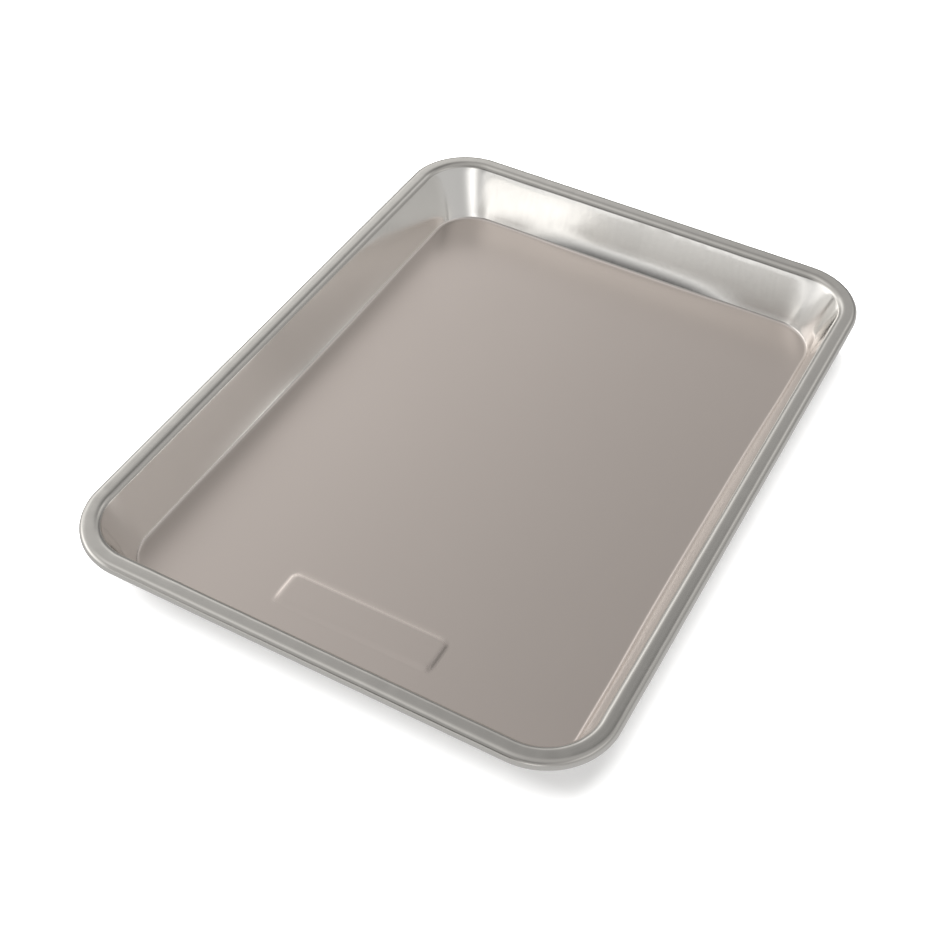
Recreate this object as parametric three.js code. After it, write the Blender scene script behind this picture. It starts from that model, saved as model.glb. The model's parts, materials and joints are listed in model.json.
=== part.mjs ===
// Quarter-size sheet pan: a shallow baking tray drawn from one aluminium sheet, with leaning walls and round
// corners. The edge of the sheet is curled outwards round a steel wire, which stiffens the rim.
// Units are millimetres and +Z is up. The origin is on the table under the middle of the pan, and +Y runs
// along the pan's length, away from the short side that faces the cook.
import * as THREE from "three";

// Overall sizes, over the rolled rim.
const PAN_WIDTH = 241.3;
const PAN_LENGTH = 327.7;
const PAN_HEIGHT = 28;
const CORNER_RADIUS = 32;

// The drawn sheet: its thickness, the walls' lean from upright, the round where a straight wall meets the
// floor, and how much is added to the radius of the floor's corners in plan, where that round widens to fit.
const SHEET = 0.9;
const WALL_LEAN = THREE.MathUtils.degToRad(19);
const FLOOR_FILLET = 2;
const CORNER_SPREAD = 5.5;

// The rim: the bend over the top of the wall, the flat ledge outside it, and the curl that holds the wire.
const RIM_BEND = 2.7;
const RIM_LEDGE = 3;
const CURL_LIP_GAP = 0.5;

// The wire: one length of galvanised steel, bent to the rim's outline, whose two ends butt on the far side.
const WIRE_DIAMETER = 3.6;
const WIRE_CLEARANCE = 0.3;
const WIRE_BUTT_GAP = 0.8;

// Facets on each round: a quarter turn in plan, the floor fillet, the rim bend, the curl and the wire.
const CORNER_STEPS = 12;
const FILLET_STEPS = 7;
const BEND_STEPS = 5;
const CURL_STEPS = 20;
const WIRE_SIDES = 12;

// Places in the section through a wall, as u outwards from the rim's outermost line and z above the table.
const CURL_RADIUS = WIRE_DIAMETER / 2 + WIRE_CLEARANCE + SHEET;
const CURL_CENTRE = new THREE.Vector2(-CURL_RADIUS, PAN_HEIGHT - CURL_RADIUS);
const BEND_RADIUS = RIM_BEND + SHEET;
const BEND_CENTRE = new THREE.Vector2(CURL_CENTRE.x - RIM_LEDGE, PAN_HEIGHT - BEND_RADIUS);

// The curl ends where its lip comes up under the ledge, short of it by the lip gap.
const CURL_LIP_ANGLE = Math.asin((CURL_RADIUS - SHEET - CURL_LIP_GAP) / CURL_RADIUS);

// The straight wall is tangent to the rim bend. Here are the place where it would meet the floor's height,
// and how far inside that place a fillet starts for each millimetre of its radius.
const WALL_FOOT =
  BEND_CENTRE.x - BEND_RADIUS / Math.cos(WALL_LEAN) - (BEND_CENTRE.y - SHEET) * Math.tan(WALL_LEAN);
const FILLET_REACH = 1 / Math.cos(WALL_LEAN) - Math.tan(WALL_LEAN);

// The flat floor ends on this line along the sides, and on arcs of this radius and centre in the corners.
const FLOOR_EDGE = WALL_FOOT - FLOOR_FILLET * FILLET_REACH;
const FLOOR_CORNER = CORNER_RADIUS + FLOOR_EDGE + CORNER_SPREAD;
const FLOOR_CORNER_CENTRE = new THREE.Vector2(
  PAN_WIDTH / 2 + FLOOR_EDGE - FLOOR_CORNER,
  PAN_LENGTH / 2 + FLOOR_EDGE - FLOOR_CORNER,
);

// One face of the sheet in section, from the edge of the floor to the curl's lip: depth 0 is the face that
// shows from above and outside, and depth SHEET is the face behind it. The straight runs join the arcs' ends.
function sheetFace(depth, edge) {
  const arc = (centre, radius, start, end, clockwise) =>
    new THREE.EllipseCurve(centre.x, centre.y, radius, radius, start, end, clockwise);
  const filletRadius = (WALL_FOOT - edge) / FILLET_REACH;
  const filletCentre = new THREE.Vector2(edge, SHEET + filletRadius);
  const fillet = arc(filletCentre, filletRadius + depth, -Math.PI / 2, -WALL_LEAN, false);
  const bend = arc(BEND_CENTRE, BEND_RADIUS - depth, Math.PI - WALL_LEAN, Math.PI / 2, true);
  const curl = arc(CURL_CENTRE, CURL_RADIUS - depth, Math.PI / 2, -Math.PI - CURL_LIP_ANGLE, true);
  return [
    ...fillet.getPoints(FILLET_STEPS),
    ...bend.getPoints(BEND_STEPS),
    ...curl.getPoints(CURL_STEPS),
  ];
}

// Stations round the rim's outermost line, counter-clockwise from above, each a point and its outward normal.
// The floor's corners start and end on the straight sides, so each corner has a station there at both ends.
function rimStations() {
  const stations = [];
  for (let corner = 0; corner < 4; corner++) {
    const towardsRight = corner === 0 || corner === 3 ? 1 : -1;
    const towardsFar = corner < 2 ? 1 : -1;
    const centre = new THREE.Vector2(
      towardsRight * (PAN_WIDTH / 2 - CORNER_RADIUS),
      towardsFar * (PAN_LENGTH / 2 - CORNER_RADIUS),
    );
    const place = (turn, shift) => {
      const angle = (corner + turn) * (Math.PI / 2);
      const normal = new THREE.Vector2(Math.cos(angle), Math.sin(angle));
      const along = new THREE.Vector2(-normal.y, normal.x);
      const point = centre.clone().addScaledVector(normal, CORNER_RADIUS).addScaledVector(along, shift);
      stations.push({ point, normal });
    };
    place(0, -CORNER_SPREAD);
    for (let step = 0; step <= CORNER_STEPS; step++) {
      place(step / CORNER_STEPS, 0);
    }
    place(1, CORNER_SPREAD);
  }
  return stations;
}

// Where the floor's edge crosses a station's normal, as u: on its line by the sides, on its arc by a corner.
function floorEdge({ point, normal }) {
  const outward = new THREE.Vector2(Math.abs(normal.x), Math.abs(normal.y));
  const past = new THREE.Vector2(Math.abs(point.x), Math.abs(point.y)).sub(FLOOR_CORNER_CENTRE);
  if (Math.min(past.x, past.y) <= 0) {
    return FLOOR_EDGE;
  }
  const ahead = past.dot(outward);
  return Math.sqrt(FLOOR_CORNER ** 2 + ahead ** 2 - past.lengthSq()) - ahead;
}

// The same stations for the wire, which starts and ends at its butt joint in the middle of the far side.
function wireStations() {
  const stations = rimStations();
  const afterFarRight = stations.length / 4;
  const farEnd = (side) => ({
    point: new THREE.Vector2((side * WIRE_BUTT_GAP) / 2, PAN_LENGTH / 2),
    normal: new THREE.Vector2(0, 1),
  });
  return [
    farEnd(-1),
    ...stations.slice(afterFarRight),
    ...stations.slice(0, afterFarRight),
    farEnd(1),
  ];
}

// Carries a section, which may change with the station, round the stations: one row of points for each of the
// section's points, and one column for each station.
function carry(sectionAt, stations) {
  const columns = stations.map((station) =>
    sectionAt(station).map(({ x: u, y: z }) => {
      const { x, y } = station.point.clone().addScaledVector(station.normal, u);
      return new THREE.Vector3(x, y, z);
    }),
  );
  return columns[0].map((_, row) => columns.map((column) => column[row]));
}

// A closed solid from such rows. Where the rows or the columns don't join up into a loop, the first and last
// of them are closed by flat caps.
function solid(rows, { rowsLoop, columnsLoop }) {
  const columns = rows[0].length;
  const index = (row, column) => (row % rows.length) * columns + (column % columns);
  const faces = [];
  for (let row = 0; row < rows.length - (rowsLoop ? 0 : 1); row++) {
    for (let column = 0; column < columns - (columnsLoop ? 0 : 1); column++) {
      const here = index(row, column);
      const across = index(row + 1, column + 1);
      faces.push(here, index(row + 1, column), across);
      faces.push(here, across, index(row, column + 1));
    }
  }
  const cap = (ring, outline, flip) => {
    for (const [a, b, c] of THREE.ShapeUtils.triangulateShape(outline, [])) {
      faces.push(...(flip ? [ring[a], ring[c], ring[b]] : [ring[a], ring[b], ring[c]]));
    }
  };
  if (!rowsLoop) {
    for (const row of [0, rows.length - 1]) {
      const outline = rows[row].map(({ x, y }) => new THREE.Vector2(x, y));
      cap(rows[row].map((_, column) => index(row, column)), outline, row > 0);
    }
  }
  if (!columnsLoop) {
    for (const column of [0, columns - 1]) {
      const outline = rows.map((points) => new THREE.Vector2(points[column].y, points[column].z));
      cap(rows.map((_, row) => index(row, column)), outline, column > 0);
    }
  }
  const geometry = new THREE.BufferGeometry().setFromPoints(rows.flat());
  geometry.setIndex(faces);
  geometry.computeVertexNormals();
  return geometry;
}

// The pan: the sheet's showing face from the floor's edge to the lip, then its back face home again.
function panShell() {
  const section = (station) => {
    const edge = floorEdge(station);
    return [...sheetFace(0, edge), ...sheetFace(SHEET, edge).reverse()];
  };
  const aluminium = new THREE.MeshStandardMaterial({ color: 0xb3a9a2, roughness: 0.38, metalness: 1 });
  const geometry = solid(carry(section, rimStations()), { rowsLoop: false, columnsLoop: true });
  const mesh = new THREE.Mesh(geometry, aluminium);
  mesh.name = "pan_shell";
  return mesh;
}

// The wire in the middle of the curl, its round section carried along the rim's outline.
function rimWire() {
  const round = new THREE.EllipseCurve(
    CURL_CENTRE.x,
    CURL_CENTRE.y,
    WIRE_DIAMETER / 2,
    WIRE_DIAMETER / 2,
    0,
    2 * Math.PI,
    true,
  );
  const section = () => round.getPoints(WIRE_SIDES).slice(0, -1);
  const galvanised = new THREE.MeshStandardMaterial({ color: 0x9da3a6, roughness: 0.5, metalness: 1 });
  const geometry = solid(carry(section, wireStations()), { rowsLoop: true, columnsLoop: false });
  const mesh = new THREE.Mesh(geometry, galvanised);
  mesh.name = "rim_wire";
  return mesh;
}

const sheetPan = new THREE.Group();
sheetPan.add(panShell(), rimWire());
export default sheetPan;
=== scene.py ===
"""Quarter-size sheet pan on a pale table, in soft studio light.

The pan is one sheet: a section through its wall is carried round the rim's outline and closed by the floor,
so the floor, fillet, walls, ledge and curl are one skin with two faces. Lengths are metres in the part's own
frame.
"""

import json
import math

import bpy
import numpy as np
from mathutils import Matrix, Vector


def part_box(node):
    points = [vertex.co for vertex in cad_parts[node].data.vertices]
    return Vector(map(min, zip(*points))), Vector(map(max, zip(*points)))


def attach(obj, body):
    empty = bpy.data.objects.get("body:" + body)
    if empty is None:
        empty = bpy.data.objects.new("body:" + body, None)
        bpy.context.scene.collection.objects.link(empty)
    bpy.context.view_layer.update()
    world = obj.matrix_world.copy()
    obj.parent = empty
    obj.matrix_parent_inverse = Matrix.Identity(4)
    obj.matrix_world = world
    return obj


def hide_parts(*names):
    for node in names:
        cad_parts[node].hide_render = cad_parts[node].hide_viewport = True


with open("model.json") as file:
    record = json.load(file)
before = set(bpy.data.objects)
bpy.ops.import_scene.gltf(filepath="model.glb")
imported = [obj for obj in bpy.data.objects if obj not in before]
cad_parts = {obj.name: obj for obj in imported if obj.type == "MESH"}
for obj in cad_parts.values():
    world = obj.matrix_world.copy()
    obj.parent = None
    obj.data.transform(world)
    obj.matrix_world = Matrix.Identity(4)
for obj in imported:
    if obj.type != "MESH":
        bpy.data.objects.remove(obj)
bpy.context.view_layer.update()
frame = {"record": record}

MM = 0.001

# Sizes read from the frame: the rim's outline, the wire and the floor's top face.
PAN_HALF = np.array(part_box("pan_shell")[1][:2])
PAN_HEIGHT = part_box("pan_shell")[1].z
WIRE_LOW, WIRE_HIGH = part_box("rim_wire")
WIRE_RADIUS = (WIRE_HIGH.z - WIRE_LOW.z) / 2
SHEET = next(m for m in frame["record"]["mounts"] if m["name"] == "baking_surface")["pos_m"][2]

# Sizes of the section through a wall, which leans more in the middle of a corner than along a side.
CORNER_RADIUS = 32 * MM
WALL_LEAN = math.radians(19)
CORNER_LEAN = math.radians(24)
FLOOR_FILLET = 2 * MM
CORNER_SPREAD = 5.5 * MM
RIM_BEND = 2.7 * MM
RIM_LEDGE = 3.0 * MM
CURL_LIP_GAP = 0.5 * MM
WIRE_BUTT_GAP = 0.8 * MM

# Places in that section, as u outwards from the rim's outermost line and z above the table.
CURL_RADIUS = PAN_HALF[0] - WIRE_HIGH.x + WIRE_RADIUS
CURL_CENTRE = np.array([-CURL_RADIUS, PAN_HEIGHT - CURL_RADIUS])
CURL_LIP_ANGLE = math.asin((CURL_RADIUS - SHEET - CURL_LIP_GAP) / CURL_RADIUS)
BEND_RADIUS = RIM_BEND + SHEET
BEND_CENTRE = np.array([CURL_CENTRE[0] - RIM_LEDGE, PAN_HEIGHT - BEND_RADIUS])


def wall_foot(lean):
    """Where the straight wall, tangent to the rim bend, would meet the floor's height, as u."""
    return BEND_CENTRE[0] - BEND_RADIUS / np.cos(lean) - (BEND_CENTRE[1] - SHEET) * np.tan(lean)


def fillet_reach(lean):
    """How far inside the wall's foot a fillet of unit radius starts."""
    return 1 / np.cos(lean) - np.tan(lean)


# The flat floor ends on this line along the sides, and in the corners on arcs of this radius and centre. In
# the middle of a corner the arc lies this much further in.
FLOOR_EDGE = wall_foot(WALL_LEAN) - FLOOR_FILLET * fillet_reach(WALL_LEAN)
FLOOR_CORNER = CORNER_RADIUS + FLOOR_EDGE + CORNER_SPREAD
FLOOR_CORNER_CENTRE = PAN_HALF + FLOOR_EDGE - FLOOR_CORNER
FLOOR_CORNER_INSET = (math.sqrt(2) - 1) * CORNER_SPREAD

# What the press leaves: along that share of a side the wall's foot stands in a little, up to that height.
FOOT_IN = 0.9 * MM
FOOT_HEIGHT = 9 * MM
FOOT_SHARE = 0.75

# What the curling wheel leaves: a slight waviness of the rim, no shorter than that length.
RIM_WAVE = 0.05 * MM
RIM_WAVE_LENGTH = 9 * MM
RIM_WAVE_COUNT = 24
RIM_WAVE_LEAST_TURNS = 3
RIM_WAVE_SEED_ACROSS = 5
RIM_WAVE_SEED_UP = 11

# The plain shallow panel raised in the floor near the front.
PANEL_CENTRE = np.array([0, -119.5]) * MM
PANEL_HALF = np.array([37, 8.5]) * MM
PANEL_ROUND = 3 * MM
PANEL_RISE = 0.35 * MM
PANEL_EDGE = 1.2 * MM

# Cells along a half corner, the short side, the long side, and each run of the section.
HALF_CORNER_CELLS = 13
SHORT_CELLS = 70
LONG_CELLS = 100
FILLET_CELLS = 12
WALL_CELLS = 10
BEND_CELLS = 7
LEDGE_CELLS = 3
CURL_CELLS = 26
WIRE_SIDES = 16

# How the floor's grid tightens at the panel's edges: how much closer it gets, how far from an edge, and the
# count of trial places that it is worked out on.
PANEL_CLOSER = 4
PANEL_CLOSER_REACH = 2.5 * PANEL_EDGE
TRIAL_PLACES = 4000

# Edges that turn by more than this, such as the lip's, stay sharp.
SHARP_ANGLE = math.radians(50)


def arc(centre, radius, start, stop, cells):
    """Points centre + radius * (cos a, sin a) as a runs evenly from start to stop.

    There is a row for each point, and a column for each start or stop.
    """
    a = start + (stop - start) * np.linspace(0, 1, cells + 1)[:, None]
    return centre + np.asarray(radius)[..., None] * np.stack([np.cos(a), np.sin(a)], -1)


def run(start, stop, cells):
    """The points that divide the straight lines from start to stop into equal cells, ends left out."""
    t = np.linspace(0, 1, cells + 1)[1:-1, None, None]
    return start * (1 - t) + stop * t


def floor_edge(points, normals):
    """Where the flat floor ends along each station's normal, as u.

    By the sides that is the floor's straight line, and by a corner it is where the normal crosses its arc.
    """
    past = np.abs(points) - FLOOR_CORNER_CENTRE
    ahead = (past * np.abs(normals)).sum(1)
    aside = (past**2).sum(1) - ahead**2
    on_arc = np.sqrt(np.maximum(FLOOR_CORNER**2 - aside, 0)) - ahead
    return np.where(past.min(1) > 0, on_arc, FLOOR_EDGE)


def sheet_face(depth, edge):
    """One face of the sheet in section, from the edge of the floor to the lip of the curl, for each station.

    Depth 0 is the face that shows and depth SHEET the one behind it. It is a fillet arc, the straight wall,
    an arc over the wall's top, the straight ledge and the arc of the curl, each tangent to the next. The lean
    grows in step with how far the floor's edge lies inside its line, and the fillet fits between the two.
    """
    lean = WALL_LEAN + (CORNER_LEAN - WALL_LEAN) * (FLOOR_EDGE - edge) / FLOOR_CORNER_INSET
    radius = (wall_foot(lean) - edge) / fillet_reach(lean)
    centre = np.stack([edge, SHEET + radius], -1)
    fillet = arc(centre, radius + depth, -math.pi / 2, -lean, FILLET_CELLS)
    bend = arc(BEND_CENTRE, BEND_RADIUS - depth, math.pi - lean, math.pi / 2, BEND_CELLS)
    curl_end = np.full_like(edge, -math.pi - CURL_LIP_ANGLE)
    curl = arc(CURL_CENTRE, CURL_RADIUS - depth, math.pi / 2, curl_end, CURL_CELLS)
    wall = run(fillet[-1], bend[0], WALL_CELLS)
    ledge = run(bend[-1], curl[0], LEDGE_CELLS)
    return np.concatenate([fillet, wall, bend, ledge, curl])


def face_zones():
    """For each row of a sheet face, how far it is drawn wall and how far it is rim.

    The drawn finish sets in along the fillet as the cube of the way up it. The rim starts with its bend.
    """
    above = np.ones(WALL_CELLS - 1 + BEND_CELLS + 1 + LEDGE_CELLS - 1 + CURL_CELLS + 1)
    drawn = np.concatenate([np.linspace(0, 1, FILLET_CELLS + 1) ** 3, above])
    beyond = np.ones(BEND_CELLS + LEDGE_CELLS - 1 + CURL_CELLS + 1)
    below = np.zeros(FILLET_CELLS + 1 + WALL_CELLS)
    return drawn, np.concatenate([below, beyond])


def spaced(low, high, cells, close_at):
    """Places from low to high, spaced by the running sum of 1 plus a bell round each of the close places."""
    fine = np.linspace(low, high, TRIAL_PLACES)
    bells = np.exp(-(((fine[:, None] - close_at) / PANEL_CLOSER_REACH) ** 2)).sum(1)
    reach = np.cumsum(1 + PANEL_CLOSER * bells)
    share = (reach - reach[0]) / (reach[-1] - reach[0])
    return np.interp(np.linspace(0, 1, cells + 1), share, fine)


def rim_stations():
    """Stations round the rim's outermost line, counter-clockwise from the front left corner's middle.

    Each side is half a corner, a straight and half a corner: a corner's stations turn about its centre, and
    the straight's shift along the side. Gives points, outward normals, and each station's place along its
    straight, from -1 to 1.
    """
    centre = PAN_HALF - CORNER_RADIUS
    panel = PANEL_CENTRE + PANEL_HALF * np.array([[-1], [1]])
    across = spaced(-centre[0], centre[0], SHORT_CELLS, panel[:, 0])
    along = spaced(-centre[1], centre[1], LONG_CELLS, panel[:, 1])
    turn = np.linspace(0, math.pi / 4, HALF_CORNER_CELLS + 1)
    points, normals, places = [], [], []
    for side, straight in enumerate((across, along, -across[::-1], -along[::-1])):
        facing = (side - 1) * math.pi / 2
        before = np.full(HALF_CORNER_CELLS, straight[0])
        after = np.full(HALF_CORNER_CELLS - 1, straight[-1])
        shift = np.concatenate([before, straight, after])
        angle = facing + np.concatenate([turn[:-1] - turn[-1], 0 * straight, turn[1:-1]])
        normal = np.stack([np.cos(angle), np.sin(angle)], -1)
        out = np.array([math.cos(facing), math.sin(facing)])
        way = np.array([-out[1], out[0]])
        points.append(out * centre + way * shift[:, None] + normal * CORNER_RADIUS)
        normals.append(normal)
        places.append(shift / straight[-1])
    return tuple(np.concatenate(each) for each in (points, normals, places))


def waves(points, seed):
    """A smooth wave round a closed loop, from -1 to 1: sines of whole counts of turns, with seeded phases."""
    step = np.hypot(*(np.roll(points, -1, 0) - points).T)
    length = np.cumsum(step)
    rng = np.random.default_rng(seed)
    turns = rng.integers(RIM_WAVE_LEAST_TURNS, int(length[-1] / RIM_WAVE_LENGTH), RIM_WAVE_COUNT)
    phase = rng.uniform(0, 2 * math.pi, RIM_WAVE_COUNT)
    wave = np.sin(2 * math.pi * length[:, None] / length[-1] * turns + phase).sum(1)
    return wave / np.abs(wave).max()


def carried(section, points, normals):
    """The section carried round the stations: a row for each section point and a column for each station."""
    return np.concatenate([points + normals * section[..., :1], section[..., 1:]], -1)


def quads(index):
    """Quads between neighbouring rows and columns of a grid of vertex numbers."""
    return np.stack([index[:-1, :-1], index[1:, :-1], index[1:, 1:], index[:-1, 1:]], -1).reshape(-1, 4)


def mesh_object(name, vertices, faces, attributes=()):
    """A smooth-shaded mesh object from whole arrays, with named float attributes on its points."""
    mesh = bpy.data.meshes.new(name)
    mesh.from_pydata(vertices.reshape(-1, 3).tolist(), [], faces)
    mesh.polygons.foreach_set("use_smooth", np.ones(len(faces), bool))
    for label, values in attributes:
        mesh.attributes.new(label, "FLOAT", "POINT").data.foreach_set("value", values.astype(np.float32))
    mesh.update()
    mesh.set_sharp_from_angle(angle=SHARP_ANGLE)
    obj = bpy.data.objects.new(name, mesh)
    bpy.context.scene.collection.objects.link(obj)
    return obj


def outside(xy, centre, half, rounding):
    """Signed distance of points in plan from a rounded rectangle's outline, negative inside it."""
    past = np.abs(xy - centre) - half + rounding
    return np.hypot(*np.moveaxis(np.maximum(past, 0), -1, 0)) + np.minimum(past.max(-1), 0) - rounding


def panel_step(xy):
    """1 on the floor's raised panel and 0 off it: the distance from its outline through a smooth step."""
    t = np.clip(0.5 - outside(xy, PANEL_CENTRE, PANEL_HALF, PANEL_ROUND) / PANEL_EDGE, 0, 1)
    return t * t * (3 - 2 * t)


def floor_patch(ring, nx, ny):
    """Floor points inside a ring of 2 (nx + ny) points, each blended from the four sides it lies between."""
    loop = np.concatenate([ring, ring[:1]])
    front, right = loop[: nx + 1], loop[nx : nx + ny + 1]
    back, left = loop[nx + ny : 2 * nx + ny + 1][::-1], loop[2 * nx + ny :][::-1]
    s = np.linspace(0, 1, nx + 1)[None, :, None]
    t = np.linspace(0, 1, ny + 1)[:, None, None]
    sides = (1 - t) * front[None] + t * back[None] + (1 - s) * left[:, None] + s * right[:, None]
    corners = (1 - t) * ((1 - s) * front[0] + s * front[-1]) + t * ((1 - s) * back[0] + s * back[-1])
    return sides - corners


def pan_skin():
    """The whole sheet as one closed skin.

    Its rows are the showing face from the floor's edge to the lip, then the back face home again, carried
    round the rim. Each floor face is a blended patch whose border is the first or the last row. The rim moves
    in and down by its waviness times (1 - a wave). The foot stands in as (1 - place to the fourth) squared
    along its share of a side, and as (1 - height) squared up the wall. The panel lifts both faces of the
    floor, and its edge is marked as pressed by 4 step (1 - step).
    """
    points, normals, place = rim_stations()
    edge = floor_edge(points, normals)
    section = np.concatenate([sheet_face(0, edge), sheet_face(SHEET, edge)[::-1]])
    rows = carried(section, points, normals)
    drawn, rim = (np.concatenate([zone, zone[::-1]]) for zone in face_zones())
    count, columns = rows.shape[:2]
    shows = np.arange(count) < count // 2
    swing = RIM_WAVE * rim[:, None]
    rows[..., :2] += normals * (swing * (waves(points, RIM_WAVE_SEED_ACROSS) - 1))[..., None]
    rows[..., 2] += swing * (waves(points, RIM_WAVE_SEED_UP) - 1)
    below = np.clip(1 - (section[..., 1] - SHEET) / FOOT_HEIGHT, 0, 1)
    along = (1 - np.minimum(np.abs(place / FOOT_SHARE), 1) ** 4) ** 2
    rows[..., :2] -= normals * (FOOT_IN * along * below**2)[..., None]

    nx, ny = SHORT_CELLS + 2 * HALF_CORNER_CELLS, LONG_CELLS + 2 * HALF_CORNER_CELLS
    ring = np.arange(count * columns).reshape(count, columns)
    inner = (ny - 1) * (nx - 1)
    vertices, faces = [rows.reshape(-1, 3)], [quads(np.concatenate([ring, ring[:, :1]], 1))]
    zones = [np.repeat(np.stack([drawn, rim]), columns, 1), np.zeros((2, 2 * inner))]
    for face, row in enumerate((0, count - 1)):
        patch = floor_patch(rows[row], nx, ny)[1:-1, 1:-1]
        patch[..., 2] = section[row, 0, 1] + PANEL_RISE * panel_step(patch[..., :2])
        index = np.empty((ny + 1, nx + 1), int)
        index[1:-1, 1:-1] = (count * columns + face * inner + np.arange(inner)).reshape(ny - 1, nx - 1)
        index[0], index[:, -1] = ring[row, : nx + 1], ring[row, nx : nx + ny + 1]
        index[-1] = ring[row, nx + ny : 2 * nx + ny + 1][::-1]
        index[:, 0] = np.append(ring[row, 2 * nx + ny :], ring[row, 0])[::-1]
        vertices.append(patch.reshape(-1, 3))
        faces.append(quads(index)[:, ::-1] if shows[row] else quads(index))
    skin = np.concatenate(vertices)
    step = panel_step(skin[:, :2])
    attributes = zip(("drawn", "rim", "pressed"), (*np.concatenate(zones, 1), 4 * step * (1 - step)))
    return mesh_object("pan_skin", skin, np.concatenate(faces).tolist(), attributes)


def wire_skin():
    """The rim's wire: a circle carried round the rim at the curl's centre, and capped at its butt joint."""
    points, normals = rim_stations()[:2]
    butt = int(np.argmin(np.hypot(points[:, 0], points[:, 1] - PAN_HALF[1])))
    order = np.roll(np.arange(len(points)), -butt - 1)[:-1]
    ends = np.array([[-WIRE_BUTT_GAP / 2, PAN_HALF[1]], [WIRE_BUTT_GAP / 2, PAN_HALF[1]]])
    points = np.concatenate([ends[:1], points[order], ends[1:]])
    normals = np.concatenate([[[0, 1]], normals[order], [[0, 1]]])
    circle = arc(CURL_CENTRE, WIRE_RADIUS, 0, np.full(len(points), -2 * math.pi), WIRE_SIDES)[:-1]
    ring = np.arange(WIRE_SIDES * len(points)).reshape(WIRE_SIDES, -1)
    caps = [ring[::-1, 0].tolist(), ring[:, -1].tolist()]
    sides = quads(np.concatenate([ring, ring[:1]])).tolist()
    return mesh_object("wire_skin", carried(circle, points, normals), sides + caps)


class Socket:
    """A shader value: Python arithmetic on it adds Math nodes to its graph."""

    def __init__(self, graph, socket):
        self.graph, self.socket = graph, socket

    def math(self, operation, *others):
        return self.graph.node("ShaderNodeMath", {"operation": operation}, dict(enumerate((self, *others))))

    def __add__(self, other):
        return self.math("ADD", other)

    def __sub__(self, other):
        return self.math("SUBTRACT", other)

    def __mul__(self, other):
        return self.math("MULTIPLY", other)

    def __truediv__(self, other):
        return self.math("DIVIDE", other)

    def __radd__(self, other):
        return self + other

    def __rmul__(self, other):
        return self * other

    def __rsub__(self, other):
        return self * -1 + other

    def __rtruediv__(self, other):
        return self.math("POWER", -1) * other


class Graph:
    """A node tree filled through one method."""

    def __init__(self, owner):
        owner.use_nodes = True
        self.tree = owner.node_tree
        self.tree.nodes.clear()

    def node(self, kind, settings, values, out=0):
        made = self.tree.nodes.new(kind)
        for name, value in settings.items():
            setattr(made, name, value)
        for name, value in values.items():
            if isinstance(value, Socket):
                self.tree.links.new(value.socket, made.inputs[name])
            else:
                made.inputs[name].default_value = value
        return Socket(self, made.outputs[out]) if len(made.outputs) else made

    def scaled(self, vector, factors):
        return self.node("ShaderNodeVectorMath", {"operation": "MULTIPLY"}, {0: vector, 1: factors})

    def noise(self, vector, detail):
        return self.node("ShaderNodeTexNoise", {}, {"Vector": vector, "Scale": 1, "Detail": detail})

    def zone(self, label):
        return self.node("ShaderNodeAttribute", {"attribute_name": label}, {}, "Fac")

    def mix(self, factor, first, second):
        return self.node("ShaderNodeMix", {"data_type": "RGBA"}, {0: factor, 6: first, 7: second}, 2)


# Tints of the sheet: its floor, its drawn walls, its rim, and the dull patches on all of them.
FLOOR_TINT = (0.735, 0.664, 0.62, 1)
WALL_TINT = (0.95, 0.94, 0.92, 1)
RIM_TINT = (0.66, 0.645, 0.615, 1)
PATCH_TINT = (0.60, 0.55, 0.51, 1)

# Patterns on the sheet, as cells to the metre along X, Y and Z: broad clouds, the floor's rolled grain, the
# walls' upright draw lines, and fine specks.
CLOUD_CELLS = (14, 14, 14)
GRAIN_CELLS = (2600, 60, 400)
STREAK_CELLS = (420, 420, 14)
SPECK_CELLS = (1500, 1500, 1500)

# The noise behind each pattern: its middle value, and its detail in the broad patterns and the fine ones.
NOISE_MIDDLE = 0.5
BROAD_DETAIL = 3
FINE_DETAIL = 2

# How strongly each pattern shows, in colour, in roughness and in the height of the bump.
CLOUD_START = 0.35
CLOUD_IN_COLOUR = 0.12
FLOOR_ROUGH = 0.32
CLOUD_IN_FLOOR = 0.08
GRAIN_IN_FLOOR = 0.05
PRESSED_SMOOTHER = 0.13
WALL_ROUGH = 0.14
STREAK_IN_WALL = 0.08
CLOUD_IN_WALL = 0.04
RIM_ROUGHER = 0.06
GRAIN_HEIGHT = 0.35
STREAK_HEIGHT = 0.8
SPECK_HEIGHT = 0.05
BUMP_STRENGTH = 0.10
BUMP_DISTANCE = 0.2 * MM


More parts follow.
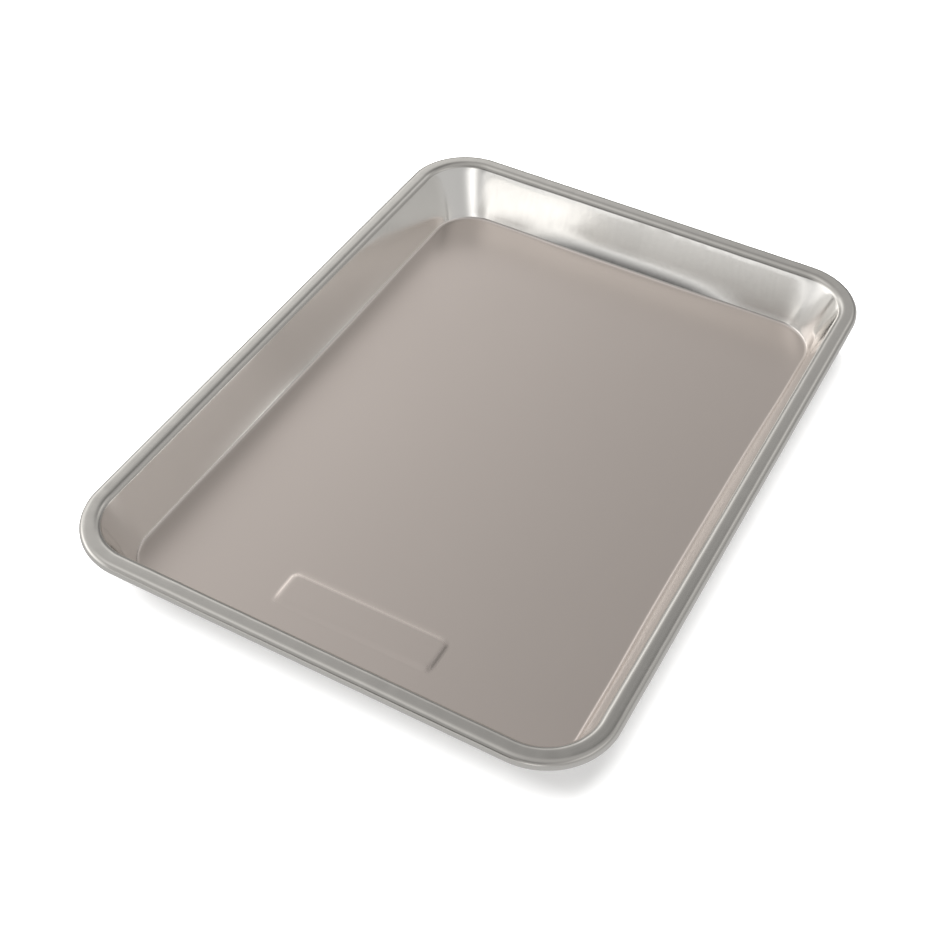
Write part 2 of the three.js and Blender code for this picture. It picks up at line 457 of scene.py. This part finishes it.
def aluminium():
    """Uncoated aluminium: a satin warm floor, brighter drawn walls with faint draw lines, a duller rim."""
    material = bpy.data.materials.new("aluminium")
    g = Graph(material)
    place = g.node("ShaderNodeTexCoord", {}, {}, "Object")
    drawn, rim, pressed = (g.zone(label) for label in ("drawn", "rim", "pressed"))
    cloud = g.noise(g.scaled(place, CLOUD_CELLS), BROAD_DETAIL)
    grain = g.noise(g.scaled(place, GRAIN_CELLS), FINE_DETAIL)
    streak = g.noise(g.scaled(place, STREAK_CELLS), BROAD_DETAIL)
    speck = g.noise(g.scaled(place, SPECK_CELLS), FINE_DETAIL)
    sheet = g.mix(rim, g.mix(drawn, FLOOR_TINT, WALL_TINT), RIM_TINT)
    shade = g.mix((cloud - CLOUD_START) * CLOUD_IN_COLOUR, sheet, PATCH_TINT)
    clouding, graining, streaking = (pattern - NOISE_MIDDLE for pattern in (cloud, grain, streak))
    floor = FLOOR_ROUGH + clouding * CLOUD_IN_FLOOR + graining * GRAIN_IN_FLOOR
    floor = floor - pressed * PRESSED_SMOOTHER
    wall = WALL_ROUGH + streaking * STREAK_IN_WALL + clouding * CLOUD_IN_WALL
    rough = floor + (wall - floor) * drawn + rim * RIM_ROUGHER
    across = grain * GRAIN_HEIGHT
    height = across + (streak * STREAK_HEIGHT - across) * drawn + speck * SPECK_HEIGHT
    bump = g.node(
        "ShaderNodeBump",
        {},
        {"Strength": BUMP_STRENGTH, "Distance": BUMP_DISTANCE, "Height": height},
    )
    shader = g.node(
        "ShaderNodeBsdfPrincipled",
        {},
        {"Base Color": shade, "Metallic": 1.0, "Roughness": rough, "Normal": bump},
    )
    g.node("ShaderNodeOutputMaterial", {}, {"Surface": shader})
    return material


# The wire's zinc: its spangle, as cells to the metre, the tints that it lies between, and its roughness.
SPANGLE_CELLS = (500, 500, 500)
ZINC_DARK = (0.46, 0.48, 0.50, 1)
ZINC_LIGHT = (0.66, 0.68, 0.69, 1)
ZINC_ROUGH = 0.42
SPANGLE_IN_ROUGH = 0.2


def galvanised():
    """Dull zinc on the wire: patches of slightly different grey and roughness."""
    material = bpy.data.materials.new("galvanised_steel")
    g = Graph(material)
    place = g.node("ShaderNodeTexCoord", {}, {}, "Object")
    patch = g.noise(g.scaled(place, SPANGLE_CELLS), FINE_DETAIL)
    shade = g.mix(patch, ZINC_DARK, ZINC_LIGHT)
    rough = ZINC_ROUGH + (patch - NOISE_MIDDLE) * SPANGLE_IN_ROUGH
    shader = g.node(
        "ShaderNodeBsdfPrincipled",
        {},
        {"Base Color": shade, "Metallic": 1.0, "Roughness": rough},
    )
    g.node("ShaderNodeOutputMaterial", {}, {"Surface": shader})
    return material


# The room round the table: an even pale grey with soft cards. Each has an azimuth and an elevation, the
# angles from its middle to its edge across and up, and its strength, below zero for a dark one.
ROOM_LEVEL = 0.52
ROOM_TINT = (1, 0.99, 0.975, 1)
ROOM_CARDS = (
    (-106, 14, 36, 15, 1.35),
    (-110, 60, 40, 16, 0.40),
    (-50, 31, 24, 10, 0.85),
    (-5, 12, 50, 10, -0.35),
    (8, 58, 36, 17, -0.30),
    (22, 40, 16, 9, 0.45),
    (95, 31, 28, 9, 0.35),
    (120, 19, 50, 5, -0.10),
    (163, 11, 14, 5, 0.95),
    (170, 45, 45, 12, -0.25),
    (-165, 3, 16, 4, 0.50),
    (-162, 18, 18, 10, -0.55),
)

# Keeps the division by the level part of a direction from failing straight up and down.
ZENITH_LEAST = 1e-6


def room():
    """World light: the even level plus each card's strength times a bell across it and a bell up it.

    The bell across is exp((cos of the angle round - 1) / (1 - cos of the half width)), and the one up is
    exp(-(angle up / half height) squared).
    """
    world = bpy.data.worlds.new("room")
    bpy.context.scene.world = world
    g = Graph(world)
    way = g.node("ShaderNodeTexCoord", {}, {}, "Generated")
    x, y, z = (g.node("ShaderNodeSeparateXYZ", {}, {"Vector": way}, axis) for axis in "XYZ")
    level_part = (1 - z * z).math("MAXIMUM", ZENITH_LEAST).math("SQRT")
    rise = z.math("ARCSINE")
    level = ROOM_LEVEL
    for azimuth, elevation, width, height, strength in ROOM_CARDS:
        a = math.radians(azimuth)
        across = (x * math.sin(a) + y * math.cos(a)) / level_part
        up = (rise - math.radians(elevation)) / math.radians(height)
        bell = ((across - 1) / (1 - math.cos(math.radians(width))) - up * up).math("EXPONENT")
        level = bell * strength + level
    light = g.node("ShaderNodeBackground", {}, {"Color": ROOM_TINT, "Strength": level})
    g.node("ShaderNodeOutputWorld", {}, {"Surface": light})


# The light over the table: the side of its square, its power in watts and its place.
LAMP_SIDE = 2.2
LAMP_POWER = 90
LAMP_PLACE = (-0.5, 0.12, 1.3)


def table_light():
    """One wide soft light over the table, which metal doesn't mirror."""
    lamp = bpy.data.lights.new("table_light", "AREA")
    lamp.shape, lamp.size, lamp.energy = "SQUARE", LAMP_SIDE, LAMP_POWER
    obj = bpy.data.objects.new("table_light", lamp)
    bpy.context.scene.collection.objects.link(obj)
    obj.location = LAMP_PLACE
    obj.rotation_euler = (-obj.location).to_track_quat("-Z", "Y").to_euler()
    obj.visible_glossy = False
    obj.visible_camera = False


# The table: its half size, how white it is, how much it glows from light beneath it, and how bright it is
# where metal mirrors it.
TABLE_HALF = 4.0
TABLE_WHITE = 0.8
TABLE_GLOW = 0.31
TABLE_MIRRORED = 0.62


def table(name, white, glow, mirrored):
    """A wide plain table top under the pan: either the one that shows, or the one that only metal mirrors."""
    corners = TABLE_HALF * np.array([[-1, -1, 0], [1, -1, 0], [1, 1, 0], [-1, 1, 0]], float)
    obj = mesh_object(name, corners, [[0, 1, 2, 3]])
    material = bpy.data.materials.new(name)
    g = Graph(material)
    shader = g.node(
        "ShaderNodeBsdfPrincipled",
        {},
        {
            "Base Color": (white, white, white, 1),
            "Roughness": 1,
            "Specular IOR Level": 0,
            "Emission Color": (1, 1, 1, 1),
            "Emission Strength": glow,
        },
    )
    g.node("ShaderNodeOutputMaterial", {}, {"Surface": shader})
    obj.data.materials.append(material)
    obj.visible_glossy = mirrored
    obj.visible_camera = not mirrored
    obj.visible_diffuse = obj.visible_shadow = False


# The camera: the way it looks, how it is rolled and where it stands, its lens and sensor in millimetres, how
# near it sees, and the picture's width in pixels.
CAMERA_AZIMUTH = math.radians(27.32)
CAMERA_ELEVATION = math.radians(45.76)
CAMERA_ROLL = math.radians(1.93)
CAMERA_PLACE = Vector((0.21370, -0.44120, 0.48660))
CAMERA_LENS = 57.99
SENSOR_WIDTH = 36
CLIP_START = 0.01
PICTURE_WIDTH = 936
HALF_PIXEL = 0.5 / PICTURE_WIDTH


def camera():
    """The camera's axes: back along its azimuth and elevation, right and up turned together by the roll."""
    a, e, r = CAMERA_AZIMUTH, CAMERA_ELEVATION, CAMERA_ROLL
    back = Vector((math.sin(a) * math.cos(e), -math.cos(a) * math.cos(e), math.sin(e)))
    level = Vector((math.cos(a), math.sin(a), 0))
    above = back.cross(level)
    right = level * math.cos(r) + above * math.sin(r)
    up = above * math.cos(r) - level * math.sin(r)
    lens = bpy.data.cameras.new("camera")
    lens.lens, lens.sensor_width, lens.clip_start = CAMERA_LENS, SENSOR_WIDTH, CLIP_START
    lens.shift_x, lens.shift_y = -HALF_PIXEL, HALF_PIXEL
    obj = bpy.data.objects.new("camera", lens)
    bpy.context.scene.collection.objects.link(obj)
    obj.matrix_world = Matrix.Translation(CAMERA_PLACE) @ Matrix((right, up, back)).transposed().to_4x4()
    bpy.context.scene.camera = obj


pan = pan_skin()
pan.data.materials.append(aluminium())
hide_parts("pan_shell")
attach(pan, "root")

wire = wire_skin()
wire.data.materials.append(galvanised())
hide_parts("rim_wire")
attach(wire, "root")

table("table_top", TABLE_WHITE, TABLE_GLOW, False)
table("table_mirrored", 0, TABLE_MIRRORED, True)
room()
table_light()
camera()
bpy.context.scene.view_settings.view_transform = "Standard"
